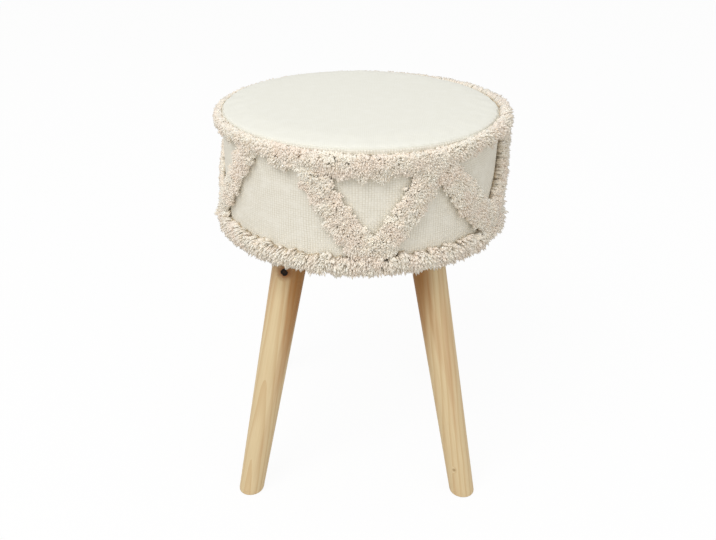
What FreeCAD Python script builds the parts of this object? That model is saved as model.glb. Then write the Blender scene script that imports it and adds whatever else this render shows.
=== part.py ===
"""Round upholstered stool: a padded drum seat with tufted pile bands on four splayed, tapered pine legs.

Frame: +Z up, the floor at Z = 0, the drum's axis on Z, the front towards -Y. Millimetres.
Each sub-part is written to parts/NODE.step.
"""

import FreeCAD, Part

import math
import os

V = FreeCAD.Vector
UP = V(0, 0, 1)

# Seat: heights above the floor and radii from the drum's axis
SEAT_HEIGHT = 450.0  # top of the crown
DRUM_HEIGHT = 128.0  # underside of the base board to the top of the crown
COVER_RADIUS = 153.5  # outside of the side cloth
CROWN_RISE = 3.0  # crown of the top above its shoulder
SHOULDER_RADIUS = 9.0  # round-over from the top to the side
SHOULDER_TURN = 60.0  # degrees of that round-over before the seam
SEAM_DRAW = 1.4  # how far the seam pulls the cloth in
DRAW_HEIGHT = 12.0  # height over which the side recovers from that pull
CLOTH = 1.2
HEM_WIDTH = 18.5  # side cloth turned under the base board
HEM_TURN_RADIUS = 4.0

# Filling and drum frame
FOAM_HEIGHT = 33.5  # at the centre
WADDING = 4.5
HOOP_THICKNESS = 3.0
HOOP_BUTT_GAP = 2.0
BASE_BOARD = 15.0
TOP_BOARD = 12.0
POST_WIDTH = 40.0
POST_CHAMFER = 2.0
DUST_CLOTH = 0.8
DUST_OVERLAP = 8.0  # dust cover over the hem

# Tufted pile on the side cloth
PILE_REACH = 12.5  # stands out from the cloth
TOP_BAND_HEIGHT = 29.0
BOTTOM_BAND_HEIGHT = 22.0
BOTTOM_BAND_HANG = 12.5  # hangs below the base board
BAND_TIP = 5.0  # thickness of the hanging band's lower edge
CHEVRON_WIDTH = 28.0  # across the limb
CHEVRON_FOOT = 10.0  # centre line of a valley above the bottom band
CHEVRON_ROUNDING = 0.3  # roundness of a valley, as a share of the run
CHEVRON_STEPS = 6  # sections on each limb
CHEVRON_OVERRUN = 1.5  # limbs are drawn this far past the top band's edge, then trimmed to it
CHEVRONS = (  # degrees: valley from the front to the right, run of its left limb, run of its right limb
    (-77.0, 27.0, 29.0),
    (5.0, 20.5, 20.5),
    (64.5, 31.5, 25.0),
    (134.0, 26.0, 24.0),
    (203.0, 25.0, 28.0),
)

# Legs and their fixings
LEG_COUNT = 4
LEG_SPLAY = 14.4  # degrees from vertical
LEG_INSET = 54.2  # from the side cloth to a leg's axis at the base board
LEG_TOP_DIAMETER = 39.0
LEG_FOOT_DIAMETER = 29.0
FOOT_ROUNDING = 2.5
PLATE_SIDE = 56.0
PLATE_THICKNESS = 2.0
PLATE_CORNER = 7.0
PLATE_HOLE_SPACING = 42.0
BOSS_DIAMETER = 28.0
LEG_TO_PLATE = 1.0  # air between the plate and the leg's higher edge
BOLT_DIAMETER = 8.0
BOLT_ABOVE_LEG = 18.0
BOLT_IN_LEG = 32.0
BOLT_POINT = 5.0
BOLT_TIP_DIAMETER = 2.0
BOLT_ROOM_GAP = 1.5  # air round the bolt's end in the base board

# Wood screws and staples
PLATE_SCREW_SHANK = 3.6
PLATE_SCREW_HEAD = 7.4
PLATE_SCREW_LENGTH = 13.0
POST_SCREW_SHANK = 4.0
POST_SCREW_HEAD = 8.0
POST_SCREW_LENGTH = 34.0
POST_SCREW_OFFSET = 13.0  # to each side of a post's centre
SCREW_POINT = 3.0
STAPLE_COUNT = 28
STAPLE_WIDTH = 10.0
STAPLE_WIRE = 0.9
STAPLE_LEG = 7.0

# Clearances
SOFT_GAP = 0.3  # between soft layers
SEAM_GAP = 0.03  # between the two cloths sewn at the seam
BOARD_GAP = 0.2  # boards inside the hoop
SCREW_GAP = 0.1  # round a screw, bolt or staple

# Places worked out from the sizes above
underside = SEAT_HEIGHT - DRUM_HEIGHT
wadding_outer = COVER_RADIUS - CLOTH - SOFT_GAP
hoop_outer = wadding_outer - WADDING - SOFT_GAP
hoop_inner = hoop_outer - HOOP_THICKNESS
board_radius = hoop_inner - BOARD_GAP
base_top = underside + BASE_BOARD
drum_top = SEAT_HEIGHT - CLOTH - SOFT_GAP - FOAM_HEIGHT
post_top = drum_top - TOP_BOARD
hem_inner = COVER_RADIUS - HEM_WIDTH
hem_bottom = underside - CLOTH
dust_bottom = underside - DUST_CLOTH
plate_bottom = dust_bottom - PLATE_THICKNESS

splay = math.radians(LEG_SPLAY)
leg_rise = V(-math.sin(splay), 0, math.cos(splay))  # up a leg whose foot is on +X
foot_spread = COVER_RADIUS - LEG_INSET + underside * math.tan(splay)  # radius to a foot's centre
leg_top_height = plate_bottom - LEG_TO_PLATE - LEG_TOP_DIAMETER / 2 * math.sin(splay)
bolt_top_height = leg_top_height + BOLT_ABOVE_LEG * math.cos(splay)
LEG_NAMES = ("rear_right", "rear_left", "front_left", "front_right")


def on_leg(height):
    """The point of the leg's axis at that height, for a leg whose foot is on +X."""
    return V(foot_spread - height * math.tan(splay), 0, height)


def outline(start, *steps):
    """A closed face in the XZ plane: each step is a point for a line, or a pair (middle, end) for an arc."""
    edges = []
    here = V(start[0], 0, start[1])
    for step in list(steps) + [start]:
        if isinstance(step[0], tuple):
            middle, end = (V(p[0], 0, p[1]) for p in step)
            edges.append(Part.Arc(here, middle, end).toShape())
        else:
            end = V(step[0], 0, step[1])
            if end.distanceToPoint(here) < 1e-7:
                continue
            edges.append(Part.LineSegment(here, end).toShape())
        here = end
    return Part.Face(Part.Wire(edges))


def turned(face):
    """The face in the XZ plane turned once about Z."""
    return face.revolve(V(0, 0, 0), UP, 360)


def ring(inner, outer, bottom, top):
    """A plain ring about Z."""
    whole = Part.makeCylinder(outer, top - bottom, V(0, 0, bottom))
    return whole.cut(Part.makeCylinder(inner, top - bottom, V(0, 0, bottom)))


def round_legs(shape):
    """Copies of a shape made for a leg on +X, one for each leg, in LEG_NAMES order."""
    copies = []
    for number in range(LEG_COUNT):
        copy = shape.copy()
        copy.rotate(V(0, 0, 0), UP, 360.0 / LEG_COUNT * (number + 0.5))
        copies.append(copy)
    return copies


def save(name, shape):
    """Writes one sub-part."""
    shape.exportStep(os.path.join("parts", name + ".step"))


# Cushion profile: crown, shoulder and seam

def cushion_profile(inset):
    """Crown and shoulder of the top, moved inwards by inset.

    Gives the top, the crown's middle and end, the shoulder's middle, and the seam.
    """
    turn = math.radians(SHOULDER_TURN)
    crown_end = COVER_RADIUS - SEAM_DRAW - SHOULDER_RADIUS * math.sin(turn)
    crown_radius = (crown_end**2 + CROWN_RISE**2) / (2 * CROWN_RISE)
    tilt = math.asin(crown_end / crown_radius)
    crown_centre = SEAT_HEIGHT - crown_radius

    def on_crown(angle):
        reach = crown_radius - inset
        return (reach * math.sin(angle), crown_centre + reach * math.cos(angle))

    hub = (
        (crown_radius - SHOULDER_RADIUS) * math.sin(tilt),
        crown_centre + (crown_radius - SHOULDER_RADIUS) * math.cos(tilt),
    )

    def on_shoulder(angle):
        reach = SHOULDER_RADIUS - inset
        return (hub[0] + reach * math.sin(angle), hub[1] + reach * math.cos(angle))

    return (
        (0.0, SEAT_HEIGHT - inset),
        on_crown(tilt / 2),
        on_crown(tilt),
        on_shoulder((tilt + turn) / 2),
        on_shoulder(turn),
    )


top_line = cushion_profile(0.0)
top_inside = cushion_profile(CLOTH)
foam_line = cushion_profile(CLOTH + SOFT_GAP)
seam = top_line[4]
seam_inside = top_inside[4]


def top_cover():
    """Round top panel of the cover, sewn to the side band at the seam."""
    return turned(
        outline(
            top_line[0],
            (top_line[1], top_line[2]),
            (top_line[3], seam),
            seam_inside,
            (top_inside[3], top_inside[2]),
            (top_inside[1], top_inside[0]),
        )
    )


def side_cover():
    """Side band of the cover: drawn in at the seam, straight down the drum, its hem turned under the base."""
    inside = COVER_RADIUS - CLOTH
    drawn = seam[1] - DRAW_HEIGHT
    turn_hub = (COVER_RADIUS - HEM_TURN_RADIUS, hem_bottom + HEM_TURN_RADIUS)
    half = math.sqrt(0.5)
    inner_turn = HEM_TURN_RADIUS - CLOTH
    return turned(
        outline(
            (seam[0], seam[1] - SEAM_GAP),
            (((seam[0] + 3 * COVER_RADIUS) / 4, (seam[1] + drawn) / 2), (COVER_RADIUS, drawn)),
            (COVER_RADIUS, turn_hub[1]),
            (
                (turn_hub[0] + HEM_TURN_RADIUS * half, turn_hub[1] - HEM_TURN_RADIUS * half),
                (turn_hub[0], hem_bottom),
            ),
            (hem_inner, hem_bottom),
            (hem_inner, underside),
            (turn_hub[0], underside),
            (
                (turn_hub[0] + inner_turn * half, turn_hub[1] - inner_turn * half),
                (inside, turn_hub[1]),
            ),
            (inside, drawn),
            (
                ((seam_inside[0] + 3 * inside) / 4, (seam_inside[1] + drawn) / 2),
                (seam_inside[0], seam_inside[1] - SEAM_GAP),
            ),
        )
    )


def foam_pad():
    """Foam disc glued to the top board, crowned on top, with its edge rounded and drawn in under the seam."""
    crown_top, crown_middle, crown_end, _, _ = foam_line
    edge = (hoop_outer, crown_end[1] - SHOULDER_RADIUS)
    corner = (
        crown_end[0] + (edge[0] - crown_end[0]) * math.sqrt(0.5),
        edge[1] + (crown_end[1] - edge[1]) * math.sqrt(0.5),
    )
    return turned(
        outline(
            (0.0, drum_top),
            (hoop_outer, drum_top),
            edge,
            (corner, crown_end),
            (crown_middle, crown_top),
        )
    )


def side_wadding():
    """Sleeve of wadding round the hoop and the foam's edge."""
    return ring(
        hoop_outer + SOFT_GAP,
        wadding_outer,
        hem_bottom + HEM_TURN_RADIUS + SOFT_GAP,
        seam[1] - DRAW_HEIGHT - SOFT_GAP,
    )


# Pile: bands round both rims and chevrons between them

pile_inner = COVER_RADIUS + SOFT_GAP
pile_outer = COVER_RADIUS + PILE_REACH
top_band_top = seam[1]
top_band_bottom = top_band_top - TOP_BAND_HEIGHT
bottom_band_bottom = underside - BOTTOM_BAND_HANG
bottom_band_top = bottom_band_bottom + BOTTOM_BAND_HEIGHT


def top_pile_band():
    """Pile round the top rim, fullest at its middle."""
    middle = (top_band_top + top_band_bottom) / 2
    return turned(
        outline(
            (pile_inner, top_band_bottom),
            ((pile_outer, middle), (pile_inner, top_band_top)),
        )
    )


def bottom_pile_band():
    """Pile round the bottom rim, hanging below the base board."""
    middle = (bottom_band_top + bottom_band_bottom) / 2
    return turned(
        outline(
            (pile_inner, bottom_band_top),
            ((pile_outer, middle), (pile_inner + BAND_TIP, bottom_band_bottom)),
            (pile_inner, bottom_band_bottom),
        )
    )


def pile_room(start, end, low, high):
    """The space for pile between two angles from the front and two heights."""
    outer = pile_outer + CLOTH
    room = outline((pile_inner, low), (outer, low), (outer, high), (pile_inner, high))
    room = room.revolve(V(0, 0, 0), UP, end - start)
    room.rotate(V(0, 0, 0), UP, start - 90)
    return room


def chevron_pile(valley, left_run, right_run, start, end):
    """One V of pile: a rounded ridge that drops to its valley and rises again, trimmed between two angles."""
    low = bottom_band_top + SOFT_GAP
    high = top_band_bottom - SOFT_GAP
    valley_height = bottom_band_top + CHEVRON_FOOT
    rise = high - valley_height
    root = pile_inner - CLOTH
    soft = CHEVRON_ROUNDING
    whole_bend = math.hypot(1, soft) - soft
    sections = []
    for step in range(-CHEVRON_STEPS, CHEVRON_STEPS + 1):
        share = CHEVRON_OVERRUN * step / CHEVRON_STEPS
        run = right_run if share > 0 else left_run
        centre = valley_height + rise * (math.hypot(share, soft) - soft) / whole_bend
        steepness = rise / (math.radians(run) * COVER_RADIUS) * share / math.hypot(share, soft) / whole_bend
        ridge = CHEVRON_WIDTH / 2 * math.hypot(1, steepness)
        section = outline((root, centre - ridge), ((pile_outer, centre), (root, centre + ridge))).OuterWire
        section.rotate(V(0, 0, 0), UP, valley + share * run - 90)
        sections.append(section)
    whole = Part.makeLoft(sections, True, False)
    side_gap = math.degrees(SOFT_GAP / 2 / COVER_RADIUS)
    return whole.common(pile_room(start + side_gap, end - side_gap, low, high))


def chevrons():
    """All the chevrons in order round the drum, each pair parted where their facing limbs would meet."""
    edges = []
    for (valley, _, right_run), (following, left_run, _) in zip(CHEVRONS, CHEVRONS[1:] + CHEVRONS[:1]):
        space = (following - valley) % 360
        edges.append(valley + space * right_run / (right_run + left_run))
    starts = [edges[-1] - 360] + edges[:-1]
    return [chevron_pile(*chevron, start, end) for chevron, start, end in zip(CHEVRONS, starts, edges)]


# Screws and staples

def wood_screw(shank, head, length, gap):
    """Countersunk wood screw with its head's face at the origin and its point up, or the hole it needs."""
    shank_radius = shank / 2 + gap
    head_radius = head / 2 + gap
    head_depth = head_radius - shank_radius
    return turned(
        outline(
            (0.0, 0.0),
            (head_radius, 0.0),
            (shank_radius, head_depth),
            (shank_radius, length - SCREW_POINT),
            (0.0, length + gap),
        )
    )


def post_screws_at(gap=0.0):
    """Four screws of one post on +X: two up through the base board, two down through the top board."""
    centre = on_leg(base_top).x
    screws = []
    for side in (-POST_SCREW_OFFSET, POST_SCREW_OFFSET):
        rising = wood_screw(POST_SCREW_SHANK, POST_SCREW_HEAD, POST_SCREW_LENGTH, gap)
        falling = rising.copy()
        rising.translate(V(centre, side, underside))
        falling.rotate(V(0, 0, 0), V(1, 0, 0), 180)
        falling.translate(V(centre + side, 0, drum_top))
        screws += [rising, falling]
    return screws


def plate_screws_at(gap=0.0):
    """Four screws of one leg plate on +X, their heads in the plate."""
    centre = on_leg(plate_bottom).x
    half = PLATE_HOLE_SPACING / 2
    screws = []
    for along in (-half, half):
        for across in (-half, half):
            screw = wood_screw(PLATE_SCREW_SHANK, PLATE_SCREW_HEAD, PLATE_SCREW_LENGTH, gap)
            screw.translate(V(centre + along, across, plate_bottom))
            screws.append(screw)
    return screws


def staples(gap=0.0):
    """Staples through the dust cover and the hem into the base board, evenly round the rim."""
    rim = hem_bottom - DUST_CLOTH
    middle = hem_inner + DUST_OVERLAP / 2
    made = []
    for number in range(STAPLE_COUNT):
        crown = Part.makeBox(STAPLE_WIRE, STAPLE_WIDTH, STAPLE_WIRE)
        crown.translate(V(middle - STAPLE_WIRE / 2, -STAPLE_WIDTH / 2, rim - STAPLE_WIRE))
        wire = STAPLE_WIRE + 2 * gap
        pieces = []
        for side in (-1, 1):
            prong = Part.makeBox(wire, wire, STAPLE_LEG + gap)
            across = side * (STAPLE_WIDTH - STAPLE_WIRE) / 2
            prong.translate(V(middle - wire / 2, across - wire / 2, rim))
            pieces.append(prong)
        staple = crown.multiFuse(pieces).removeSplitter()
        staple.rotate(V(0, 0, 0), UP, 360.0 / STAPLE_COUNT * (number + 0.5))
        made.append(staple)
    return made


# Drum frame

def bolt_rooms():
    """Holes through the base board and the dust cover that take the ends of the slanting leg bolts."""
    middle = on_leg((dust_bottom + bolt_top_height) / 2)
    drift = (bolt_top_height - dust_bottom) / 2 * math.tan(splay)
    radius = BOLT_DIAMETER / 2 / math.cos(splay) + drift + BOLT_ROOM_GAP
    return round_legs(Part.makeCylinder(radius, base_top - dust_bottom, V(middle.x, 0, dust_bottom)))


def base_board(fixings):
    """Plywood disc that carries the legs."""
    disc = Part.makeCylinder(board_radius, BASE_BOARD, V(0, 0, underside))
    return disc.cut(bolt_rooms() + fixings)


def top_board(fixings):
    """Plywood disc under the foam."""
    return Part.makeCylinder(board_radius, TOP_BOARD, V(0, 0, post_top)).cut(fixings)


def drum_hoop():
    """Hardboard strip bent round both boards, its ends butted at the back."""
    hoop = ring(hoop_inner, hoop_outer, underside, drum_top)
    gap = Part.makeBox(HOOP_BUTT_GAP, 2 * HOOP_THICKNESS + BOARD_GAP, drum_top - underside)
    gap.translate(V(-HOOP_BUTT_GAP / 2, hoop_inner - HOOP_THICKNESS / 2, underside))
    return hoop.cut(gap)


def post():
    """Softwood block between the boards, above a leg on +X."""
    block = Part.makeBox(POST_WIDTH, POST_WIDTH, post_top - base_top)
    block.translate(V(on_leg(base_top).x - POST_WIDTH / 2, -POST_WIDTH / 2, base_top))
    upright = [e for e in block.Edges if abs(e.tangentAt(e.FirstParameter).z) > 0.5]
    block = block.makeChamfer(POST_CHAMFER, upright)
    return block.cut(post_screws_at(SCREW_GAP))


def dust_cover(fixings):
    """Thin cloth under the base board, its rim lapped over the hem."""
    rim = hem_inner + DUST_OVERLAP
    lap = hem_bottom - DUST_CLOTH
    step = hem_inner - SOFT_GAP
    cloth = turned(
        outline(
            (0.0, underside),
            (step, underside),
            (step, hem_bottom),
            (rim, hem_bottom),
            (rim, lap),
            (step - DUST_CLOTH, lap),
            (step - DUST_CLOTH, dust_bottom),
            (0.0, dust_bottom),
        )
    )
    return cloth.cut(bolt_rooms() + fixings)


# Legs, plates and bolts, each made for a leg whose foot is on +X

def along_leg(radius, start, length):
    """A cylinder on the leg's axis, from start above (or below, if negative) the leg's top."""
    base = on_leg(leg_top_height) + leg_rise * start
    return Part.makeCylinder(radius, length, base, leg_rise)


def hanger_bolt(gap=0.0):
    """Bolt with a wood thread in the leg and a machine thread in the plate, or the hole it needs."""
    radius = BOLT_DIAMETER / 2 + gap
    stem = along_leg(radius, BOLT_POINT - BOLT_IN_LEG, BOLT_IN_LEG - BOLT_POINT + BOLT_ABOVE_LEG)
    tip = on_leg(leg_top_height) - leg_rise * (BOLT_IN_LEG + gap)
    point = Part.makeCone(BOLT_TIP_DIAMETER / 2, radius, BOLT_POINT + gap, tip, leg_rise)
    return stem.fuse(point).removeSplitter()


def leg():
    """Tapered round leg: square at the top, trimmed level at the foot, bored for its bolt."""
    length = leg_top_height / math.cos(splay)
    spare = LEG_FOOT_DIAMETER
    taper = (LEG_TOP_DIAMETER - LEG_FOOT_DIAMETER) / 2 / length
    low_radius = LEG_FOOT_DIAMETER / 2 - taper * spare
    low = on_leg(0) - leg_rise * spare
    whole = Part.makeCone(low_radius, LEG_TOP_DIAMETER / 2, length + spare, low, leg_rise)
    below = Part.makeBox(4 * spare, 4 * spare, 4 * spare, V(foot_spread - 2 * spare, -2 * spare, -4 * spare))
    whole = whole.cut(below)
    rim = [e for e in whole.Edges if e.BoundBox.ZMax < FOOT_ROUNDING]
    whole = whole.makeFillet(FOOT_ROUNDING, rim)
    return whole.cut(hanger_bolt(SCREW_GAP))


def leg_plate():
    """Steel plate with an angled boss that the leg butts against, tapped for the bolt."""
    centre = on_leg(plate_bottom).x
    half = PLATE_SIDE / 2
    plate = Part.makeBox(PLATE_SIDE, PLATE_SIDE, PLATE_THICKNESS, V(centre - half, -half, plate_bottom))
    upright = [e for e in plate.Edges if abs(e.tangentAt(e.FirstParameter).z) > 0.5]
    plate = plate.makeFillet(PLATE_CORNER, upright)
    boss = along_leg(BOSS_DIAMETER / 2, 0, BOSS_DIAMETER)
    above = Part.makeBox(
        2 * PLATE_SIDE, 2 * PLATE_SIDE, 2 * BOSS_DIAMETER, V(centre - PLATE_SIDE, -PLATE_SIDE, dust_bottom)
    )
    boss = boss.cut(above)
    return plate.fuse(boss).removeSplitter().cut([hanger_bolt(SCREW_GAP)] + plate_screws_at(SCREW_GAP))


def main():
    os.makedirs("parts", exist_ok=True)

    plate_holes = [h for hole in plate_screws_at(SCREW_GAP) for h in round_legs(hole)]
    post_holes = [h for hole in post_screws_at(SCREW_GAP) for h in round_legs(hole)]
    staple_holes = staples(SCREW_GAP)

    save("base_board", base_board(plate_holes + post_holes + staple_holes))
    save("top_board", top_board(post_holes))
    save("drum_hoop", drum_hoop())
    for name, shape in zip(LEG_NAMES, round_legs(post())):
        save("post_" + name, shape)
    save("post_screws", Part.makeCompound([s for screw in post_screws_at() for s in round_legs(screw)]))

    save("foam_pad", foam_pad())
    save("side_wadding", side_wadding())
    save("top_cover", top_cover())
    save("side_cover", side_cover().cut(staple_holes))
    save("dust_cover", dust_cover(plate_holes + staple_holes))
    save("cover_staples", Part.makeCompound(staples()))

    save("top_pile_band", top_pile_band())
    save("bottom_pile_band", bottom_pile_band())
    for number, shape in enumerate(chevrons(), 1):
        save("chevron_pile_%d" % number, shape)

    for name, shape in zip(LEG_NAMES, round_legs(leg())):
        save("leg_" + name, shape)
    for name, shape in zip(LEG_NAMES, round_legs(hanger_bolt())):
        save("hanger_bolt_" + name, shape)
    for name, shape in zip(LEG_NAMES, round_legs(leg_plate())):
        save("leg_plate_" + name, shape)
    save("leg_plate_screws", Part.makeCompound([s for screw in plate_screws_at() for s in round_legs(screw)]))


main()
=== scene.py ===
import math

import bpy
import numpy as np
from mathutils import Matrix, Vector


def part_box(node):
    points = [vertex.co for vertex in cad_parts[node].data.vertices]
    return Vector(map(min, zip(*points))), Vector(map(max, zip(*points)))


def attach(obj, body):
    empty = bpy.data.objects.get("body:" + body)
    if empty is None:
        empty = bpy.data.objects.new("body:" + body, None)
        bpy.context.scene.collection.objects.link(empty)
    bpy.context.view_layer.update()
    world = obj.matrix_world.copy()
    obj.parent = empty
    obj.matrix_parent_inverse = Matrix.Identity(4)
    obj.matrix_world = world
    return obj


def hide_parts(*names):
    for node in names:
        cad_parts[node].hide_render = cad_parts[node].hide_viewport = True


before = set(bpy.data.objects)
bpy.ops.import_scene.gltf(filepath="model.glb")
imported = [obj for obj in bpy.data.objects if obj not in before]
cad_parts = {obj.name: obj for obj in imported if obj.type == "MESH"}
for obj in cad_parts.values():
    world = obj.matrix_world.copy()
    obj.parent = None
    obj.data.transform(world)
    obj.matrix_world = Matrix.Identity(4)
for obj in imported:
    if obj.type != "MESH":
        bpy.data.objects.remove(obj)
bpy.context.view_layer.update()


# Boards of the drum
# Two discs of birch plywood with a hardboard strip bent round them and softwood blocks between them.
# They are glued and screwed together and carry everything else, out of sight under the cover.

MM = 0.001
CORNERS = ("front_left", "front_right", "rear_left", "rear_right")


def linear(colour):
    """The linear colour of an sRGB hex value: c / 12.92 in the darks, ((c + 0.055) / 1.055)^2.4 above."""
    channels = [int(colour[i : i + 2], 16) / 255 for i in (1, 3, 5)]
    return tuple(c / 12.92 if c <= 0.04045 else ((c + 0.055) / 1.055) ** 2.4 for c in channels) + (1.0,)


def new_material(name, **constants):
    """A material with the given constants on its shader, with its node tree and shader."""
    material = bpy.data.materials.new(name)
    material.use_nodes = True
    shader = material.node_tree.nodes["Principled BSDF"]
    for socket, value in constants.items():
        shader.inputs[socket.replace("_", " ")].default_value = value
    return material, material.node_tree, shader


def put(tree, kind, inputs, output=0, **settings):
    """Adds a node with its settings and gives one of its outputs; an input is a value or a socket."""
    node = tree.nodes.new("ShaderNode" + kind)
    for name, value in settings.items():
        setattr(node, name, value)
    for key, value in inputs.items():
        if isinstance(value, bpy.types.NodeSocket):
            tree.links.new(value, node.inputs[key])
        else:
            node.inputs[key].default_value = value
    return node.outputs[output]


def blend(tree, share, first, second):
    """The colour between two colours, each a hex value or a socket; share 0 gives the first."""
    ends = [linear(end) if isinstance(end, str) else end for end in (first, second)]
    return put(tree, "Mix", {"Factor": share, 6: ends[0], 7: ends[1]}, 2, data_type="RGBA")


def streaks(tree, place, sizes, detail):
    """Noise whose clouds have the given sizes along the three axes."""
    scale = tuple(1 / size for size in sizes)
    drawn_out = put(tree, "Mapping", {"Vector": place, "Scale": scale})
    return put(tree, "TexNoise", {"Vector": drawn_out, "Scale": 1.0, "Detail": detail})


def surface(tree, shader, colour, height, strength, depth):
    """Gives a shader its colour, and lets a height stand out of the surface by depth."""
    bump = put(tree, "Bump", {"Height": height, "Strength": strength, "Distance": depth})
    tree.links.new(colour, shader.inputs["Base Color"])
    tree.links.new(bump, shader.inputs["Normal"])


def dress(names, material):
    """Gives CAD nodes a material."""
    for name in names:
        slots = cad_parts[name].data.materials
        slots.clear()
        slots.append(material)


def birch_plywood():
    """Rotary-cut birch: pale veneers, every second one end grain and so darker on the edge."""
    veneer, end_grain = 1.5 * MM, 0.25
    grain_length, grain_width = 25.0 * MM, 2.38 * MM
    material, tree, shader = new_material("birch_plywood", Roughness=0.62)
    place = put(tree, "TexCoord", {}, "Object")
    grain = streaks(tree, place, (grain_length, grain_width, grain_width), detail=5.0)
    height = put(tree, "SeparateXYZ", {"Vector": place}, "Z")
    layer = put(tree, "Math", {0: height, 1: 0.5 / veneer}, operation="MULTIPLY")
    layer = put(tree, "Math", {0: layer}, operation="FRACT")
    layer = put(tree, "Math", {0: layer, 1: 0.5}, operation="GREATER_THAN")
    layer = put(tree, "Math", {0: layer, 1: end_grain}, operation="MULTIPLY")
    face = blend(tree, grain, "#b98f5d", "#dcc096")
    colour = blend(tree, layer, face, "#8a6238")
    surface(tree, shader, colour, grain, strength=0.25, depth=0.3 * MM)
    return material


def pressed_hardboard():
    """Pressed wood fibre: dark brown, matt, mottled with short fibres about 2 mm long."""
    fibre = 2.0 * MM
    material, tree, shader = new_material("pressed_hardboard", Roughness=0.7)
    place = put(tree, "TexCoord", {}, "Object")
    mottle = {"Vector": place, "Scale": 1 / fibre, "Detail": 4.0, "Distortion": 1.5}
    mottle = put(tree, "TexNoise", mottle)
    colour = blend(tree, mottle, "#4b3220", "#8a6747")
    surface(tree, shader, colour, mottle, strength=0.3, depth=0.2 * MM)
    return material


def sawn_softwood():
    """Sawn spruce: straight growth rings about 6 mm apart along the block, with a rough sawn face.

    A wave texture repeats after pi / 10 of its scaled place.
    """
    ring, fibre_width, fibre_length = 5.95 * MM, 3.03 * MM, 50.0 * MM
    material, tree, shader = new_material("sawn_softwood", Roughness=0.75)
    place = put(tree, "TexCoord", {}, "Object")
    fibres = (1 / fibre_width, 1 / fibre_width, 1 / fibre_length)
    upright = put(tree, "Mapping", {"Vector": place, "Scale": fibres})
    ring_scale = math.pi / 10 * fibre_width / ring
    wave = {"Vector": upright, "Scale": ring_scale, "Distortion": 2.5, "Detail": 2.0}
    rings = put(tree, "TexWave", wave, "Fac")
    sawn = put(tree, "TexNoise", {"Vector": upright, "Scale": 2.0, "Detail": 3.0})
    colour = blend(tree, rings, "#e3c897", "#c39a61")
    surface(tree, shader, colour, sawn, strength=0.4, depth=0.3 * MM)
    return material


dress(["base_board", "top_board"], birch_plywood())
dress(["drum_hoop"], pressed_hardboard())
dress(["post_" + corner for corner in CORNERS], sawn_softwood())


# Screws, bolts, plates and staples
# Zinc-plated steel: wood screws in the posts and plates, an angled plate and a hanger bolt for each leg,
# and wire staples round the rim underneath.


def zinc_plate():
    """Bright zinc on pressed steel: a cool grey with a faint crystal mottle, duller where handled."""
    crystal, smear = 4.0 * MM, 11.1 * MM
    material, tree, shader = new_material("zinc_plate", Metallic=1.0)
    place = put(tree, "TexCoord", {}, "Object")
    crystals = put(tree, "TexVoronoi", {"Vector": place, "Scale": 1 / crystal}, "Color")
    handling = put(tree, "TexNoise", {"Vector": place, "Scale": 1 / smear, "Detail": 5.0})
    gloss = put(tree, "MapRange", {"Value": handling, "To Min": 0.28, "To Max": 0.5})
    tree.links.new(blend(tree, crystals, "#b4b8bb", "#c4c7c9"), shader.inputs["Base Color"])
    tree.links.new(gloss, shader.inputs["Roughness"])
    return material


steel_nodes = ["post_screws", "leg_plate_screws", "cover_staples"]
steel_nodes += [part + corner for part in ("leg_plate_", "hanger_bolt_") for corner in CORNERS]
dress(steel_nodes, zinc_plate())


# Wadding sleeve
# A strip of bonded polyester fibre wrapped once round the hoop, between the frame and the cloth.
# It is soft and lumpy and only the cloth holds it, so it stays just clear of the pieces round it.


def extent(node):
    """How far a CAD node reaches along +X, and its lowest and highest level, to the micrometre."""
    low, high = np.round(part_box(node), 6).tolist()
    return high[0], low[2], high[2]


hoop_outer, _, _ = extent("drum_hoop")
sleeve_outer, sleeve_bottom, _ = extent("side_wadding")
_, _, SEAT_TOP = extent("top_cover")
WADDING_INNER = hoop_outer + 0.4 * MM
WADDING_OUTER = sleeve_outer - 0.1 * MM
SLEEVE_LOW = sleeve_bottom + 0.3 * MM
SLEEVE_HIGH = SEAT_TOP - 20.0 * MM
LUMP = 0.5 * MM


def quads(rows, columns, closed_rows=False):
    """Faces of a grid that closes along its columns, and along its rows too if closed_rows is set."""
    row = np.arange(rows if closed_rows else rows - 1)[:, None]
    column = np.arange(columns)[None, :]
    next_row = (row + 1) % rows * columns
    next_column = (column + 1) % columns
    row = row * columns
    corners = (row + column, row + next_column, next_row + next_column, next_row + column)
    return np.stack(corners, -1).reshape(-1, 4)


def add_object(name, data):
    """Adds an object with its data to the scene."""
    added = bpy.data.objects.new(name, data)
    bpy.context.scene.collection.objects.link(added)
    return added


def new_piece(name, points, faces, material, slot, **values):
    """A smooth mesh of the root body from its points, its faces and named values for each point."""
    mesh = bpy.data.meshes.new(name)
    mesh.from_pydata(np.reshape(points, (-1, 3)).tolist(), [], faces)
    for key, value in values.items():
        kind, field = ("FLOAT_VECTOR", "vector") if np.ndim(value) == 2 else ("FLOAT", "value")
        mesh.attributes.new(key, kind, "POINT").data.foreach_set(field, np.float32(value).ravel())
    mesh.shade_smooth()
    mesh.materials.append(material)
    piece = add_object(name, mesh)
    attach(piece, "root")
    return piece


def carried_round(radius, height, angle):
    """Points at each radius and height, with a column for each angle from the front to the right."""
    radius, height, angle = np.broadcast_arrays(radius, height, angle)
    return np.stack([radius * np.sin(angle), -radius * np.cos(angle), height], -1)


def full_circle(columns):
    """Evenly spaced angles once round."""
    return np.linspace(0, 2 * np.pi, columns, endpoint=False)


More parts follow.
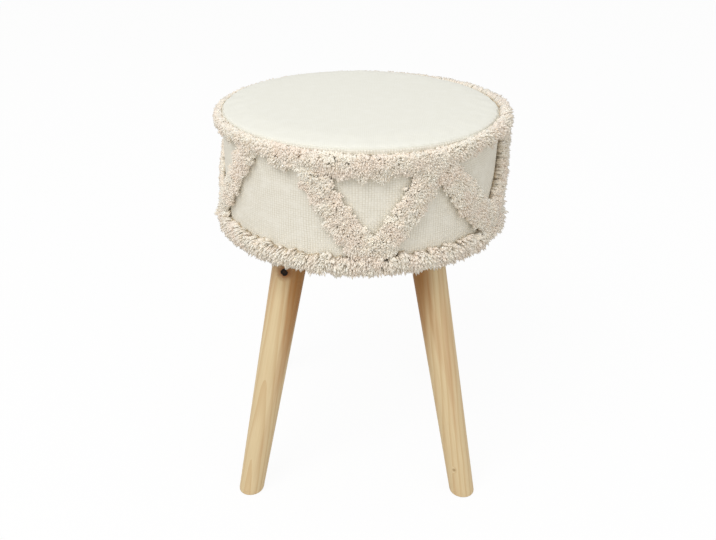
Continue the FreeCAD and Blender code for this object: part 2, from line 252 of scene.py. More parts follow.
def bonded_fibre():
    """Polyester wadding: white, matt, cloudy with matted fibres."""
    cloud = 2.86 * MM
    material, tree, shader = new_material("bonded_fibre", Roughness=0.95)
    place = put(tree, "TexCoord", {}, "Object")
    fibres = {"Vector": place, "Scale": 1 / cloud, "Detail": 6.0, "Distortion": 2.0}
    fibres = put(tree, "TexNoise", fibres)
    colour = blend(tree, fibres, "#d9d8d2", "#f6f5f1")
    surface(tree, shader, colour, fibres, strength=0.6, depth=0.6 * MM)
    return material


def wadding_sleeve():
    """A rounded strip: its section is a superellipse, |cos|^0.4 across and |sin|^0.4 up, with lumps.

    The lumps are a product of two waves round the drum.
    """
    rows, columns, squareness = 24, 180, 0.4
    first_wave, second_wave, twist = 9, 14, 3
    section = full_circle(rows)[:, None]
    angle = full_circle(columns)
    across = np.sign(np.cos(section)) * np.abs(np.cos(section)) ** squareness
    up = np.sign(np.sin(section)) * np.abs(np.sin(section)) ** squareness
    half = (WADDING_OUTER - WADDING_INNER) / 2 - LUMP
    soft = LUMP * np.sin(first_wave * angle + twist * section) * np.cos(second_wave * angle)
    radius = (WADDING_INNER + WADDING_OUTER) / 2 + across * (half + soft)
    height = (SLEEVE_LOW + SLEEVE_HIGH) / 2 + up * (SLEEVE_HIGH - SLEEVE_LOW) / 2
    points = carried_round(radius, height, angle)
    faces = quads(rows, columns, closed_rows=True).tolist()
    piece = new_piece("wadding_sleeve", points, faces, bonded_fibre(), "wadding")
    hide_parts("side_wadding")


wadding_sleeve()


# Seat pad
# A foam disc under a round panel of woven cotton. The panel is pulled tight over the foam and sewn to
# the side band all round, so the top is a low crown that rolls over a soft shoulder into the seam.

_, foam_bottom, _ = extent("foam_pad")
COVER_RADIUS, HEM_BOTTOM, _ = extent("side_cover")
PAD_BOTTOM = foam_bottom + 0.1 * MM
PAD_SIDE = hoop_outer - 0.6 * MM
PAD_CENTRE = 2.0 * MM
SEAM_RADIUS = COVER_RADIUS + 0.5 * MM
SEAM_HEIGHT = SEAT_TOP - 8.8 * MM
LIP_ROOT = COVER_RADIUS - 3.5 * MM
LIP_DEPTH = 4.0 * MM
KNEE_INSET = 0.6 * MM
KNEE_DROP = 0.3 * MM
CROWN_END = COVER_RADIUS - 10.0 * MM
CROWN_DROP = 2.8 * MM
CROWN_CENTRE = 0.02
SWELL = 1.4 * MM
SEAM_HOLD = 1.0 * MM


def counted_threads(tree, place, threads):
    """The place on the cloth, pulled a little aside by slow noise and counted in threads each way."""
    slack, wander = 5.0 * MM, 45.5 * MM
    pull = put(tree, "TexNoise", {"Vector": place, "Scale": 1 / wander, "Detail": 2.0}, "Color")
    pull = put(tree, "VectorMath", {0: pull, 1: (0.5, 0.5, 0.5)}, operation="SUBTRACT")
    pull = put(tree, "VectorMath", {0: pull, "Scale": slack}, operation="SCALE")
    pulled = put(tree, "VectorMath", {0: place, 1: pull}, operation="ADD")
    return put(tree, "VectorMath", {0: pulled, 1: (*threads, 1.0)}, operation="DIVIDE")


def plain_weave(tree, counted, rib):
    """Height of a plain weave: a sine arch across each thread, bowed by the thread it crosses.

    The upright thread is on top in one cell and the level thread in the next, like a chessboard.
    Rib from 0 to 1 raises the upright threads and lowers the level ones.
    """
    cells, arches = [], []
    for axis in "XY":
        along = put(tree, "SeparateXYZ", {"Vector": counted}, axis)
        part = put(tree, "Math", {0: along}, operation="FRACT")
        turn = put(tree, "Math", {0: part, 1: math.pi}, operation="MULTIPLY")
        cells.append(put(tree, "Math", {0: along}, operation="FLOOR"))
        arches.append(put(tree, "Math", {0: turn}, operation="SINE"))
    over = put(tree, "Math", {0: cells[0], 1: cells[1]}, operation="ADD")
    over = put(tree, "Math", {0: over, 1: 0.5}, operation="MULTIPLY")
    over = put(tree, "Math", {0: over}, operation="FRACT")
    over = put(tree, "Math", {0: over, 1: 0.25}, operation="GREATER_THAN")
    upright_bow = {"Value": arches[1], "To Min": 0.5 + 0.3 * rib, "To Max": 1.0}
    level_bow = {"Value": arches[0], "To Min": 0.5 - 0.4 * rib, "To Max": 1.0 - 0.3 * rib}
    upright_bow, level_bow = (put(tree, "MapRange", bow) for bow in (upright_bow, level_bow))
    upright = put(tree, "Math", {0: arches[0], 1: upright_bow}, operation="MULTIPLY")
    level = put(tree, "Math", {0: arches[1], 1: level_bow}, operation="MULTIPLY")
    return put(tree, "Mix", {"Factor": over, 2: upright, 3: level})


def woven_cotton(name, threads, rib, gap_colour, dull_colour, bright_colour, depth):
    """Undyed cotton in plain weave: matt and slubby, darker in the gaps where no fuzz hides them.

    The upright and level threads lie the two given distances apart.
    """
    slub_length, slub_width, fuzz_patch = 14.29 * MM, 2.63 * MM, 13.33 * MM
    material, tree, shader = new_material(
        name, Roughness=0.92, Sheen_Weight=0.1, Sheen_Roughness=0.6, Specular_IOR_Level=0.15
    )
    place = put(tree, "UVMap", {}, uv_map="cloth")
    weave = plain_weave(tree, counted_threads(tree, place, threads), rib)
    slub = streaks(tree, place, (slub_length, slub_width, 1.0), detail=3.0)
    height = put(tree, "Math", {0: weave, 1: slub}, operation="ADD")
    fuzz = put(tree, "TexNoise", {"Vector": place, "Scale": 1 / fuzz_patch, "Detail": 2.0})
    fuzz = put(tree, "MapRange", {"Value": fuzz, "From Min": 0.35, "From Max": 0.65, "To Max": 0.85})
    raised = put(tree, "MapRange", {"Value": weave, "From Max": 0.7})
    raised = put(tree, "Math", {0: raised, 1: fuzz}, operation="MAXIMUM")
    yarn = blend(tree, slub, dull_colour, bright_colour)
    colour = blend(tree, raised, gap_colour, yarn)
    surface(tree, shader, colour, height, strength=0.5, depth=depth)
    return material


def plain_canvas():
    """Smooth pale canvas. Its threads are drawn coarser than real ones, so that they show."""
    thread = 1.8 * MM
    colours = {"gap_colour": "#e8e6d9", "dull_colour": "#ecebe0", "bright_colour": "#f2f1e8"}
    return woven_cotton("plain_canvas", (thread, thread), rib=0.0, depth=0.12 * MM, **colours)


def swell(piece, frames, pressure, reach, held_below):
    """Blows the closed cloth up: points below held_below stay, and the others move at most reach."""
    mesh = piece.data
    start = np.empty(len(mesh.vertices) * 3)
    mesh.vertices.foreach_get("co", start)
    blown = np.empty_like(start)
    start = start.reshape(-1, 3)
    held = piece.vertex_groups.new(name="held")
    held.add(np.flatnonzero(start[:, 2] < held_below).tolist(), 1.0, "REPLACE")
    cloth = piece.modifiers.new("swell", "CLOTH")
    cloth.settings.vertex_group_mass = "held"
    cloth.settings.use_pressure = True
    cloth.settings.uniform_pressure_force = pressure
    cloth.settings.effector_weights.gravity = 0
    cloth.point_cache.frame_end = frames
    for number in range(1, frames + 1):
        bpy.context.scene.frame_set(number)
    graph = bpy.context.evaluated_depsgraph_get()
    piece.evaluated_get(graph).data.vertices.foreach_get("co", blown)
    step = blown.reshape(-1, 3) - start
    length = np.linalg.norm(step, axis=1, keepdims=True)
    step *= np.minimum(1.0, reach / np.maximum(length, reach))
    piece.modifiers.remove(cloth)
    piece.vertex_groups.remove(held)
    mesh.vertices.foreach_set("co", (start + step).ravel())
    mesh.update()
    bpy.context.scene.frame_set(1)


def shaped_by(piece, kind, **settings):
    """Applies a modifier with its settings to a piece's mesh."""
    bpy.context.view_layer.objects.active = piece
    modifier = piece.modifiers.new(kind, kind)
    for name, value in settings.items():
        setattr(modifier, name, value)
    bpy.ops.object.modifier_apply(modifier=modifier.name)


def lay_cloth(mesh):
    """Gives a mesh the map "cloth", in metres, as seen from above."""
    place = np.empty(len(mesh.vertices) * 3)
    mesh.vertices.foreach_get("co", place)
    corner = np.empty(len(mesh.loops), int)
    mesh.loops.foreach_get("vertex_index", corner)
    flat = place.reshape(-1, 3)[corner, :2]
    mesh.uv_layers.new(name="cloth").data.foreach_set("uv", np.float32(flat).ravel())


def capped_quads(rows, columns):
    """Faces of a grid that closes along its columns, with one face over each end."""
    first = np.arange(columns)
    last = first + (rows - 1) * columns
    return quads(rows, columns).tolist() + [first[::-1].tolist(), last.tolist()]


def curve(start, knee, end, t):
    """Points of a quadratic curve: (1 - t)^2 start + 2 t (1 - t) knee + t^2 end."""
    return (1 - t) ** 2 * start + 2 * t * (1 - t) * knee + t**2 * end


def pad_profile():
    """Radius and height of the pad: flat base, straight side, lip, round shoulder and crown.

    The shoulder is a quadratic curve, and the crown falls as the square of the radius.
    """
    shoulder_rows, crown_rows = 9, 40
    under_lip = (LIP_ROOT, SEAM_HEIGHT - LIP_DEPTH)
    side = [(PAD_CENTRE, PAD_BOTTOM), (PAD_SIDE, PAD_BOTTOM), (PAD_SIDE, SLEEVE_HIGH), under_lip]
    lip = np.array([SEAM_RADIUS, SEAM_HEIGHT])
    edge = np.array([CROWN_END, SEAT_TOP - CROWN_DROP - SWELL / 2])
    knee = np.array([SEAM_RADIUS - KNEE_INSET, edge[1] - KNEE_DROP])
    shoulder = curve(lip, knee, edge, np.linspace(0, 1, shoulder_rows)[:, None])
    out = np.linspace(1, CROWN_CENTRE, crown_rows)
    crown = np.stack([CROWN_END * out, edge[1] + (CROWN_DROP - SWELL / 2) * (1 - out**2)], -1)
    return np.concatenate([side, shoulder, crown[1:]])


def seat_pad():
    """The turned profile, meshed evenly and swollen by the foam inside."""
    columns = 160
    profile = pad_profile()
    points = carried_round(profile[:, :1], profile[:, 1:], full_circle(columns))
    faces = capped_quads(len(profile), columns)
    piece = new_piece("seat_pad", points, faces, plain_canvas(), "cover_cloth")
    shaped_by(piece, "REMESH", mode="VOXEL", voxel_size=4.0 * MM)
    swell(piece, frames=20, pressure=4.0, reach=SWELL, held_below=SEAM_HEIGHT - SEAM_HOLD)
    shaped_by(piece, "SMOOTH", iterations=5)
    piece.data.shade_smooth()
    lay_cloth(piece.data)
    finer = piece.modifiers.new("finer", "SUBSURF")
    finer.levels = finer.render_levels = 1
    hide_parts("top_cover", "foam_pad")


seat_pad()


# Side band of the cover
# A strip of hand-woven cotton sewn to the top panel, stretched down the drum, and turned under the base,
# where staples hold its hem. Its top edge is the lip of the seam.

CLOTH = 1.2 * MM
LIP_HEIGHT = SEAT_TOP - 9.0 * MM
LIP_RADIUS = 1.1 * MM
LIP_INSET = 0.3 * MM
LIP_ARC = (-0.6 * np.pi, 0.45 * np.pi)
SEAM_LINE = LIP_HEIGHT - 3.0 * MM
SEAM_SINK = 0.6 * MM
SEAM_SPREAD = 4.0 * MM
HEM_TURN = 4.0 * MM
HEM_MIDDLE = COVER_RADIUS - 11.5 * MM
HEM_INNER = COVER_RADIUS - 18.5 * MM
PUCKER_DEPTH = 0.3 * MM
PUCKER_HEIGHT = SEAM_LINE - 10.0 * MM
PUCKER_SPREAD = 14.0 * MM
HOLLOW_DEPTH = 0.35 * MM
HOLLOW_LENGTH = 38.0 * MM


def homespun_cotton():
    """Hand-spun cotton in a ribbed weave: uneven upright threads that stand out of the level ones."""
    threads = (2.9 * MM, 2.4 * MM)
    colours = {"gap_colour": "#d9d2c0", "dull_colour": "#e8e3d5", "bright_colour": "#f7f4ea"}
    return woven_cotton("homespun_cotton", threads, rib=0.6, depth=0.4 * MM, **colours)


def arc(radius, height, bend, turn):
    """Points round a middle at that radius and height; turn 0 is up and a quarter turn is out."""
    return np.stack([radius + bend * np.sin(turn), height + bend * np.cos(turn)], -1)


def band_section():
    """Radius and height down the outside of the band: lip, sunk seam, straight wall, quarter turn, hem.

    The seam is sunk by a bell curve of the height.
    """
    lip_rows, wall_rows, turn_rows = 8, 44, 6
    lip_turn = np.linspace(*LIP_ARC, lip_rows)
    lip = arc(COVER_RADIUS - LIP_RADIUS - LIP_INSET, LIP_HEIGHT - LIP_RADIUS, LIP_RADIUS, lip_turn)
    height = np.linspace(SEAM_LINE, HEM_BOTTOM + HEM_TURN, wall_rows)
    sunk = SEAM_SINK * np.exp(-(((height - SEAM_LINE) / SEAM_SPREAD) ** 2))
    wall = np.stack([COVER_RADIUS - sunk, height], -1)
    quarter = np.linspace(np.pi / 2, np.pi, turn_rows)[1:]
    under = arc(COVER_RADIUS - HEM_TURN, HEM_BOTTOM + HEM_TURN, HEM_TURN, quarter)
    hem = np.array([(HEM_MIDDLE, HEM_BOTTOM), (HEM_INNER, HEM_BOTTOM)])
    return np.concatenate([lip, wall, under, hem])


def pulled_in(height, angle):
    """How far the cloth leaves a true round: puckers under the seam and slight hollows below it.

    Puckers are two waves in a bell curve of the height, and hollows a product of waves both ways.
    """
    first_wave, second_wave, hollow_wave = 57, 83, 11
    second_share, second_phase, hollow_phase = 0.7, 1.0, 0.4
    under_seam = np.exp(-(((height - PUCKER_HEIGHT) / PUCKER_SPREAD) ** 2))
    waves = np.sin(first_wave * angle) + second_share * np.sin(second_wave * angle + second_phase)
    level = np.sin((height - HEM_BOTTOM) / HOLLOW_LENGTH)
    hollow = HOLLOW_DEPTH * np.abs(np.sin(hollow_wave * angle + hollow_phase) * level)
    return PUCKER_DEPTH * under_seam * waves - hollow


def band_map(faces, columns, along):
    """The map "cloth" at each corner of the band's faces: arc round the drum, distance down it."""
    round_drum = np.arange(columns + 1) * (2 * np.pi * COVER_RADIUS / columns)
    row, column = np.divmod(faces[:, 0], columns)
    following = (row + 1) % len(along)
    across = (column, column + 1, column + 1, column)
    down = (row, row, following, following)
    return np.stack([np.stack([round_drum[c], along[r]], -1) for c, r in zip(across, down)], 1)


def side_band():
    """The section, doubled to its thickness and carried round."""
    columns = 480
    outer = band_section()
    step = np.diff(outer, axis=0, prepend=outer[:1])
    along = np.cumsum(np.linalg.norm(step, axis=1))
    slope = np.gradient(outer, axis=0)
    slope /= np.linalg.norm(slope, axis=1, keepdims=True)
    inner = outer + CLOTH * np.stack([slope[:, 1], -slope[:, 0]], -1)
    section = np.concatenate([outer[::-1], inner])
    radius, height = section[:, :1], section[:, 1:]
    angle = full_circle(columns)
    points = carried_round(radius + pulled_in(height, angle), height, angle)
    faces = quads(len(section), columns, closed_rows=True)
    piece = new_piece("side_band", points, faces.tolist(), homespun_cotton(), "cover_cloth")
    uv = band_map(faces, columns, np.concatenate([along[::-1], along]))
    piece.data.uv_layers.new(name="cloth").data.foreach_set("uv", np.float32(uv).ravel())
    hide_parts("side_cover")


side_band()


# Tufted pile
# Soft cotton yarn tufted through the side band and cut: a band round each rim and five V shapes between.
# Each yarn stands out of the cloth, leans with its neighbours and droops. Some have opened at the end
# and are short and fat, and at the front the top band starts lower, so that a strip of cloth shows.

YARN_RADIUS = 0.65 * MM
RADIUS_SPAN = (0.8, 1.2)
YARN_SIDES = 3
YARN_SHARES = np.array([0.0, 0.88, 1.0])
YARN_GIRTHS = np.array([1.2, 1.7])
ROOT_DEPTH = 0.4 * MM
OPENED_SHARE = 0.4
OPENED_LENGTH = 0.82
OPENED_GIRTH = 2.0
TUFT_SPACING = 1.06 * MM
TUFT_ROW = 0.87
TUFT_STRAY = 0.4

# Lean, droop, length and tone of the yarns, as shares
CLUMP_ASIDE = 0.4
CLUMP_RISE = 0.36
STRAY = 0.2
DROOP = (0.05, 0.2)
CLUMP_LENGTH = 0.15
STRAY_LENGTH = 0.05
SHORTEST = 0.3
EDGE_LOSS = 0.25
TOP_FAN = 0.5
TOP_SAG = 0.15
FRINGE_FAN = 1.1
FRINGE_SAG = 0.95
V_FAN = 0.5
TONE = 0.55
CLUMP_TONE = 0.2
STRAY_TONE = 0.2

# Heights and lengths of the pile
SHORN = (304.5 * MM, 439.8 * MM)
LEAST_CLIMB = 0.1 * MM
TOP_BAND = (433.5 * MM, 440.3 * MM)
TOP_BAND_DIP = 16.0 * MM
TOP_BAND_STUB = 9.0 * MM
BARE_STRIP = 4.0 * MM
BOTTOM_BAND = (321.0 * MM, 329.5 * MM)
RAGGED = 4.0 * MM
RAGGED_MOST = 1.5
RUFFLE = 6.0 * MM
PILE_LENGTH = 10.5 * MM
SHAGGY = 5.5 * MM
FRINGE_LENGTH = 15.0 * MM
PRESSED_LOSS = 0.3

# Where round the drum the pile differs: middle and spread in degrees, from the front to the right
BARE_FRONT = (12, 35)
RUFFLED_SIDE = (80, 80)
SHAGGY_SIDE = (92, 42)
SHAGGY_FRINGE = (92, 28)
PRESSED_BACK = (-130, 45)
DIP_FRONT = (5, 32)
STUB_LEFT = (-30, 4)

# Each V: degrees of its valley and of the runs of its left and right arm, and half its width
CHEVRONS = (
    (-76.4, 27.0, 27.0, 8.2 * MM),
    (5.0, 21.5, 19.8, 11.3 * MM),
    (64.5, 31.5, 25.0, 11.4 * MM),
    (134.0, 26.0, 24.0, 12.0 * MM),
    (203.0, 25.0, 28.0, 11.0 * MM),
)
V_SPAN = (331.0 * MM, 432.0 * MM)
V_VALLEY = 341.5 * MM
V_RISE = 71.7 * MM
V_ROUNDING = 0.45
V_OVERRUN = 1.4

UP = np.array([0.0, 0.0, 1.0])
ASKEW = np.array([0.31, 0.17, 0.93])
ASIDE_WAVES, RISE_WAVES, LENGTH_WAVES, TONE_WAVES, EDGE_WAVES = range(1, 6)
dice = np.random.default_rng(11)


def cut_cotton_yarn():
    """Cut cotton, loosely twisted: warm cream in uneven batches, very matt, and browner towards the root
    as painted shade of the pile's crevices.
    """
    batch_patch = 22.2 * MM
    material, tree, shader = new_material(
        "cut_cotton_yarn", Roughness=0.95, Sheen_Weight=0.2, Sheen_Roughness=0.5, Specular_IOR_Level=0.1
    )
    tone = put(tree, "Attribute", {}, "Fac", attribute_name="tone")
    along = put(tree, "Attribute", {}, "Fac", attribute_name="along")
    place = put(tree, "TexCoord", {}, "Object")
    batch = put(tree, "TexNoise", {"Vector": place, "Scale": 1 / batch_patch, "Detail": 2.0})
    batch = put(tree, "MapRange", {"Value": batch, "From Min": 0.4, "From Max": 0.65, "To Max": 0.45})
    # Painted shade: the yarn turns browner towards its root, standing in for the shade deep in the pile.
    depth = put(tree, "MapRange", {"Value": along, "From Max": 0.35})
    yarn = blend(tree, tone, "#f8ecda", "#fffcf1")
    yarn = blend(tree, batch, yarn, "#fae7d8")
    tree.links.new(blend(tree, depth, "#e6d0ab", yarn), shader.inputs["Base Color"])
    return material


yarn_cotton = cut_cotton_yarn()


def ripple(angle, height, seed):
    """A smooth field of about -1 to 1 on the drum's side: ten sine waves 7 to 26 mm long, added up.

    Each wave goes a whole number of times round the drum, so that the field meets itself.
    """
    waves, shortest, longest = 10, 7 * MM, 26 * MM
    draw = np.random.default_rng(seed)
    length = draw.uniform(shortest, longest, (waves, 1))
    way, phase = draw.uniform(0, 2 * np.pi, (2, waves, 1))
    times_round = np.round(2 * np.pi * COVER_RADIUS * np.cos(way) / length)
    turn = times_round * angle + 2 * np.pi * height * np.sin(way) / length + phase
    return np.sin(turn).sum(0) / (waves / 2)


def tuft_places(start, end, low, high):
    """Angles and heights of tufts on staggered rows over a patch of the side, each a little astray."""
    pitch = TUFT_SPACING / COVER_RADIUS
    rows = np.arange(low, high, TUFT_SPACING * TUFT_ROW)
    angle = np.arange(start, end, pitch)[None, :] + pitch / 2 * (np.arange(len(rows)) % 2)[:, None]
    height = np.broadcast_to(rows[:, None], angle.shape)
    angle = angle + dice.uniform(-TUFT_STRAY, TUFT_STRAY, angle.shape) * pitch
    height = height + dice.uniform(-TUFT_STRAY, TUFT_STRAY, angle.shape) * TUFT_SPACING
    return angle.ravel(), height.ravel()


def around(angle, middle, spread):
    """A share that falls from 1 at a middle angle, in degrees, to about a third a spread away from it.

    It is exp(2 (cos(away) - 1) / spread^2), a bell curve that closes round the drum.
    """
    return np.exp(2 * (np.cos(angle - math.radians(middle)) - 1) / math.radians(spread) ** 2)


def bared(angle):
    """How far down the rim's yarns begin, as a share of the bare strip."""
    return around(angle, *BARE_FRONT)


def ruffled(angle):
    """How far up the rim's yarns are ruffled, on the right and not where the strip is bare."""
    return around(angle, *RUFFLED_SIDE) * (1 - bared(angle))


def dome(across):
    """How much of its length a yarn keeps: all in a strip's middle, less by across^2 to its edges."""
    return 1 - EDGE_LOSS * across**2


def pile_length(angle, across):
    """Length of the yarns of a strip: longer on the right, and pressed short at the back on the left."""
    length = (PILE_LENGTH + SHAGGY * around(angle, *SHAGGY_SIDE)) * dome(across)
    return length * (1 - PRESSED_LOSS * around(angle, *PRESSED_BACK))


def unit(vectors):
    """The vectors at length one."""
    return vectors / np.linalg.norm(vectors, axis=-1, keepdims=True)


def leaning(angle, height, lean_right, lean_up):
    """Directions of yarns: straight out, plus their lean, a ripple that makes clumps, and chance."""
    sway = CLUMP_ASIDE * ripple(angle, height, ASIDE_WAVES)
    lift = CLUMP_RISE * ripple(angle, height, RISE_WAVES)
    aside = lean_right + sway + dice.normal(0, STRAY, len(angle))
    rise = lean_up + lift + dice.normal(0, STRAY, len(angle))
    out = carried_round(1.0, 0.0, angle)
    right = carried_round(1.0, 0.0, angle + np.pi / 2)
    return unit(out + aside[:, None] * right + rise[:, None] * UP)


def shorn(length, climb, angle, height):
    """Lengths cut back where a yarn would climb past the upper cut or hang below the lower one."""
    high_cut = SHORN[1] - BARE_STRIP * bared(angle) + RUFFLE * ruffled(angle)
    room = np.where(climb > 0, high_cut - height, height - SHORN[0])
    return length * np.clip(room / np.maximum(np.abs(climb), LEAST_CLIMB), SHORTEST, 1)


def rooted(angle, height):
    """Roots just inside the cloth, which turns under the base on a quarter circle."""
    below_wall = np.clip(HEM_BOTTOM + HEM_TURN - height, 0, HEM_TURN)
    wall = COVER_RADIUS - HEM_TURN + np.sqrt(HEM_TURN**2 - below_wall**2)
    return carried_round(wall - ROOT_DEPTH, height, angle)


def tubes(centre, heading, radius):
    """A ring of points round each point of each centre line, square to its heading.

    Its two axes are cross products, the first with a direction askew to nearly every yarn.
    """
    first = unit(np.cross(heading, ASKEW))
    second = np.cross(heading, first)
    spin = full_circle(YARN_SIDES) + dice.uniform(0, 2 * np.pi, (len(centre), 1))
    spin = spin[:, None, :, None]
    ring = first[:, :, None] * np.cos(spin) + second[:, :, None] * np.sin(spin)
    return centre[:, :, None] + radius[:, :, None, None] * ring


def yarn_points(root, way, droop, length, radius):
    """A ring at the root and at the shoulder of each yarn, and one point at its tip.

    Centre lines are root + length (way t - droop t^2), with t the share of the length.
    """
    t = YARN_SHARES[None, :, None]
    way = way[:, None]
    droop = (droop[:, None] * UP)[:, None]
    centre = root[:, None] + length[:, None, None] * (way * t - droop * t**2)
    heading = unit(way - 2 * droop * t)
    rings = tubes(centre[:, :2], heading[:, :2], radius[:, None] * YARN_GIRTHS)
    return np.concatenate([rings.reshape(len(root), -1, 3), centre[:, 2:]], 1)


def yarn_faces(count):
    """Walls between the two rings of each yarn, faces that close its tip, and one over its root."""
    sides = YARN_SIDES
    ring = np.arange(sides)
    start = np.arange(count)[:, None, None] * (2 * sides + 1)
    walls = quads(2, sides) + start
    tips = np.stack([ring + sides, (ring + 1) % sides + sides, np.full(sides, 2 * sides)], -1) + start
    roots = ring[None, ::-1] + start[:, 0]
    return walls.reshape(-1, 4).tolist() + tips.reshape(-1, 3).tolist() + roots.tolist()


def pile(name, node, angle, height, length, lean_right, lean_up):
    """Yarns that thicken from the root to a shoulder and close in a blunt tip, shorn at both rims."""
    count = len(angle)
    way = leaning(angle, height, lean_right, lean_up)
    droop = dice.uniform(*DROOP, count)
    uneven = CLUMP_LENGTH * ripple(angle, height, LENGTH_WAVES)
    length = length * (1 + uneven + dice.normal(0, STRAY_LENGTH, count))
    opened = dice.random(count) < OPENED_SHARE
    length = length * np.where(opened, OPENED_LENGTH, 1.0)
    length = shorn(length, length * (way[:, 2] - droop), angle, height)
    radius = YARN_RADIUS * (dice.uniform(*RADIUS_SPAN, count) * np.where(opened, OPENED_GIRTH, 1.0))
    points = yarn_points(rooted(angle, height), way, droop, length, radius)
    tone = TONE + CLUMP_TONE * ripple(angle, height, TONE_WAVES) + dice.normal(0, STRAY_TONE, count)
    along = np.append(np.repeat(YARN_SHARES[:2], YARN_SIDES), YARN_SHARES[2])
    values = {"tone": np.repeat(np.clip(tone, 0, 1), len(along)), "along": np.tile(along, count)}
    piece = new_piece(name, points, yarn_faces(count), yarn_cotton, "pile", **values)
    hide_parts(node)


def top_pile():
    """Pile right round the drum under the seam, with a ragged lower edge that dips at the front."""
    lowest = TOP_BAND[0] - TOP_BAND_DIP - RAGGED_MOST * RAGGED
    angle, height = tuft_places(0, 2 * np.pi, lowest, TOP_BAND[1])
    low_edge = TOP_BAND[0] - TOP_BAND_DIP * around(angle, *DIP_FRONT)
    low_edge = low_edge - TOP_BAND_STUB * around(angle, *STUB_LEFT)
    low_edge += RAGGED * ripple(angle, height, EDGE_WAVES)
    high_edge = TOP_BAND[1] - BARE_STRIP * bared(angle)
    inside = (height > low_edge) & (height < high_edge)
    angle, height, low_edge, high_edge = (v[inside] for v in (angle, height, low_edge, high_edge))
    across = 2 * (height - low_edge) / (high_edge - low_edge) - 1
    lean_up = TOP_FAN * across - TOP_SAG + ruffled(angle) * np.clip(across, 0, 1)
    pile("top_pile", "top_pile_band", angle, height, pile_length(angle, across), 0.0, lean_up)


def bottom_pile():
    """Pile along the bottom edge with a ragged upper edge, whose lowest rows hang down as a fringe."""
    low_edge = BOTTOM_BAND[0]
    angle, height = tuft_places(0, 2 * np.pi, low_edge, BOTTOM_BAND[1] + RAGGED)
    high_edge = BOTTOM_BAND[1] + RAGGED * ripple(angle, height, EDGE_WAVES)
    inside = height < high_edge
    angle, height, high_edge = angle[inside], height[inside], high_edge[inside]
    across = 2 * (height - low_edge) / (high_edge - low_edge) - 1
    length = (FRINGE_LENGTH + SHAGGY * around(angle, *SHAGGY_FRINGE)) * dome(across)
    lean_up = FRINGE_FAN * across - FRINGE_SAG
    pile("bottom_pile", "bottom_pile_band", angle, height, length, 0.0, lean_up)


def chevron_pile(number, valley, left_run, right_run, half_width):
    """Pile within half a width of a V, a hyperbola that falls to the valley and rises to the top band.

    It rises as hypot(away / run, rounding) - rounding, scaled to the full rise at one run.
    """
    start, end = np.radians([valley - V_OVERRUN * left_run, valley + V_OVERRUN * right_run])
    angle, height = tuft_places(start, end, *V_SPAN)
    away = angle - np.radians(valley)
    run = np.radians(np.where(away > 0, right_run, left_run))
    bend = np.hypot(away / run, V_ROUNDING)
    whole_bend = np.hypot(1, V_ROUNDING) - V_ROUNDING
    line = V_VALLEY + V_RISE * (bend - V_ROUNDING) / whole_bend
    steepness = V_RISE / (run * COVER_RADIUS) * (away / run) / bend / whole_bend
    across = (height - line) / np.hypot(1, steepness)
    across /= half_width + RAGGED * ripple(angle, height, EDGE_WAVES)
    inside = np.abs(across) < 1
    angle, height, across, steepness = (v[inside] for v in (angle, height, across, steepness))
    spread = V_FAN * across / np.hypot(1, steepness)
    names = ("chevron_%d" % number, "chevron_pile_%d" % number)
    pile(*names, angle, height, pile_length(angle, across), -spread * steepness, spread)


top_pile()
bottom_pile()
for number, chevron in enumerate(CHEVRONS, 1):
    chevron_pile(number, *chevron)


# Dust cover
# A disc of black spun-bonded cloth stretched under the base, lapped over the hem of the side band
# and stapled. The leg plates are screwed on over it.

dust_outer, _, dust_top = extent("dust_cover")
DUST_RADIUS = dust_outer - 0.2 * MM
DUST_LEVEL = dust_top - 0.4 * MM
DUST_CLOTH = 0.5 * MM
DUST_LAP = 1.2 * MM
DUST_CENTRE = 1.0 * MM
DUST_FLAT = 130.0 * MM
LAP_ROWS_START = 131.0 * MM
LAP_START = HEM_INNER - 1.0 * MM
LAP_SOFTNESS = 0.4 * MM
WRINKLE = 0.12 * MM


def spun_bond():
    """Non-woven polypropylene: near black, matt, pressed with a grid of small dimples 1.6 mm apart."""
    dimple, cloud = 1.6 * MM, 3.33 * MM
    material, tree, shader = new_material("spun_bond", Roughness=0.85)
    place = put(tree, "TexCoord", {}, "Object")
    grid = {"Vector": place, "Scale": 1 / dimple, "Randomness": 0.15}
    grid = put(tree, "TexVoronoi", grid, "Distance")
    fibres = put(tree, "TexNoise", {"Vector": place, "Scale": 1 / cloud, "Detail": 5.0})
    colour = blend(tree, fibres, "#1b1b1c", "#323234")
    surface(tree, shader, colour, grid, strength=0.5, depth=0.3 * MM)
    return material


def dust_cover():
    """A disc whose level falls by the lap over the hem's edge, with wrinkles towards the rim.

    The fall is a logistic step of the radius, and the wrinkles grow as its fourth power.
    """
    columns, flat_rows, lap_rows = 240, 40, 14
    wrinkles, sway, sways = 28, 4, 3
    flat = np.linspace(DUST_CENTRE, DUST_FLAT, flat_rows)
    lap = np.linspace(LAP_ROWS_START, DUST_RADIUS, lap_rows)
    spoke = np.concatenate([flat, lap])
    radius = np.concatenate([spoke, spoke[::-1]])[:, None]
    face = np.repeat([-0.5, 0.5], len(spoke))[:, None] * DUST_CLOTH
    angle = full_circle(columns)
    step = 1 / (1 + np.exp((LAP_START - radius) / LAP_SOFTNESS))
    turn = wrinkles * angle + sway * np.sin(sways * angle)
    wrinkle = WRINKLE * (radius / DUST_RADIUS) ** 4 * np.sin(turn)
    points = carried_round(radius, DUST_LEVEL - DUST_LAP * step + wrinkle + face, angle)
    faces = capped_quads(len(radius), columns)
    piece = new_piece("dust_sheet", points, faces, spun_bond(), "dust_cloth")
    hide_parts("dust_cover")


dust_cover()


# Legs
# Four legs turned from pine, tapered, sanded and oiled, splayed towards the corners and trimmed level
# at the foot. A hanger bolt in the top of each screws into its plate.

